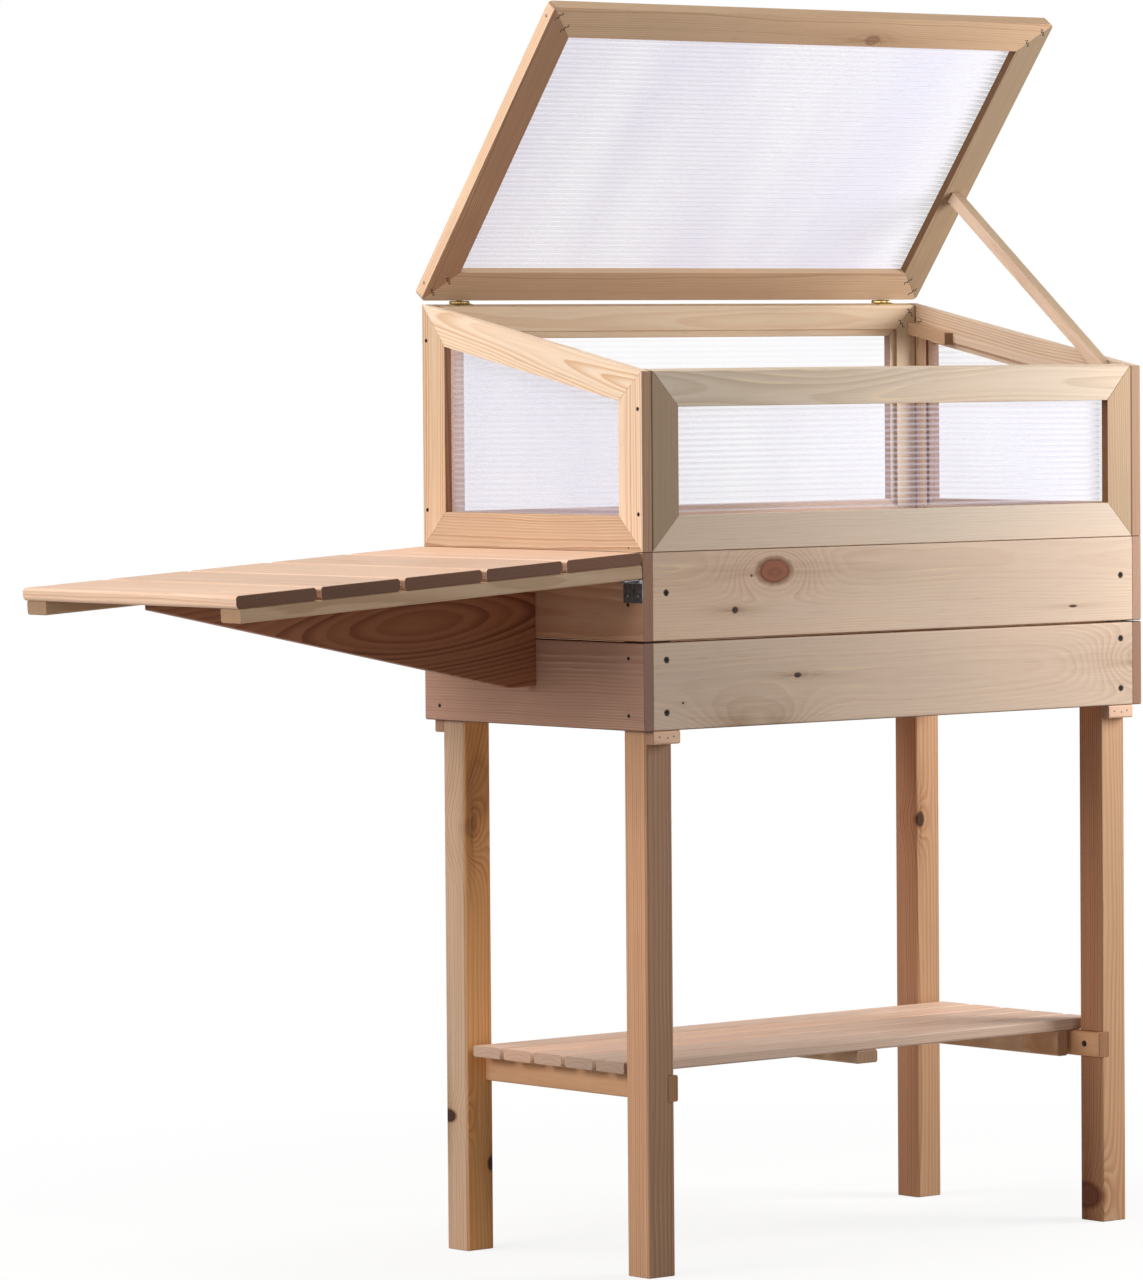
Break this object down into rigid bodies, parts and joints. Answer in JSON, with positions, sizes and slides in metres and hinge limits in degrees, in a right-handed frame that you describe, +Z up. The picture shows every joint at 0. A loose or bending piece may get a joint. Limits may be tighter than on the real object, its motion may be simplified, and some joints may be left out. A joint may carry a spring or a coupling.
{
  "type": "raised bed with cold frame",
  "caption": "Raised planting bed on legs with a glazed cold frame, prop-stick lid, folding slatted side table and lower shelf.",
  "frame": {"origin": "on the floor under the middle of the bed", "axes": "+Z up, -Y the bed's front, +X its right side, with the side table on -X"},
  "size_m": [1.3489, 0.3988, 1.4321],
  "materials": {
    "larch": "bare planed softwood",
    "twin_wall_sheet": "translucent ribbed twin-wall sheet",
    "brass": "plated brass",
    "galvanised_steel": "galvanised",
    "dark_steel": "darkened zinc"
  },
  "bodies": {
    "bed": {"bed_floor_battens": "larch", "bed_floor_slats": "larch", "board_screws": "dark_steel", "front_board_lower": "larch", "front_board_upper": "larch", "front_frame_bottom_rail": "larch", "front_frame_left_stile": "larch", "front_frame_pane": "twin_wall_sheet", "front_frame_right_stile": "larch", "front_frame_top_rail": "larch", "left_board_lower": "larch", "left_board_upper": "larch", "left_frame_bottom_rail": "larch", "left_frame_front_stile": "larch", "left_frame_pane": "twin_wall_sheet", "left_frame_rear_stile": "larch", "left_frame_top_rail": "larch", "leg_cleats": "larch", "leg_front_left": "larch", "leg_front_right": "larch", "leg_rear_left": "larch", "leg_rear_right": "larch", "lid_hinge_frame_leaves": "brass", "lid_hinge_pins": "brass", "prop_pivot_screw": "dark_steel", "prop_rest_block": "larch", "rear_board_lower": "larch", "rear_board_upper": "larch", "rear_frame_bottom_rail": "larch", "rear_frame_left_stile": "larch", "rear_frame_pane": "twin_wall_sheet", "rear_frame_right_stile": "larch", "rear_frame_top_rail": "larch", "right_board_lower": "larch", "right_board_upper": "larch", "right_frame_bottom_rail": "larch", "right_frame_front_stile": "larch", "right_frame_pane": "twin_wall_sheet", "right_frame_rear_stile": "larch", "right_frame_top_rail": "larch", "shelf_battens": "larch", "shelf_rails": "larch", "shelf_slats": "larch", "table_hinge_bed_leaves": "galvanised_steel", "table_hinge_pins": "galvanised_steel"},
    "lid": {"lid_front_rail": "larch", "lid_hinge_lid_leaves": "brass", "lid_left_stile": "larch", "lid_pane": "twin_wall_sheet", "lid_rear_rail": "larch", "lid_right_stile": "larch"},
    "prop": {"prop_stick": "larch"},
    "table": {"table_slats": "larch", "table_batten_front": "larch", "table_batten_rear": "larch", "table_hinge_table_leaves": "galvanised_steel", "bracket_hinge_table_leaves": "galvanised_steel", "bracket_hinge_pins": "galvanised_steel"},
    "bracket": {"table_bracket": "larch", "bracket_hinge_bracket_leaves": "galvanised_steel"}
  },
  "joints": [
    {"name": "lid_hinge", "type": "hinge", "parent": "bed", "child": "lid", "pos_m": [0, 0.19502, 1.09463], "axis": [-1, 0, 0], "range_deg": [0, 115]},
    {"name": "prop_pivot", "type": "hinge", "parent": "bed", "child": "prop", "pos_m": [0.3685, -0.1597, 1.00843], "axis": [-1, 0, 0], "range_deg": [0, 27.6]},
    {"name": "table_hinge", "type": "hinge", "parent": "bed", "child": "table", "pos_m": [-0.3928, 0, 0.7812], "axis": [0, 1, 0], "range_deg": [0, 3.2]},
    {"name": "bracket_fold", "type": "hinge", "parent": "table", "child": "bracket", "pos_m": [-0.6006, 0.0093, 0.78611], "axis": [0.9984, 0, 0.0558], "range_deg": [0, 90]}
  ]
}
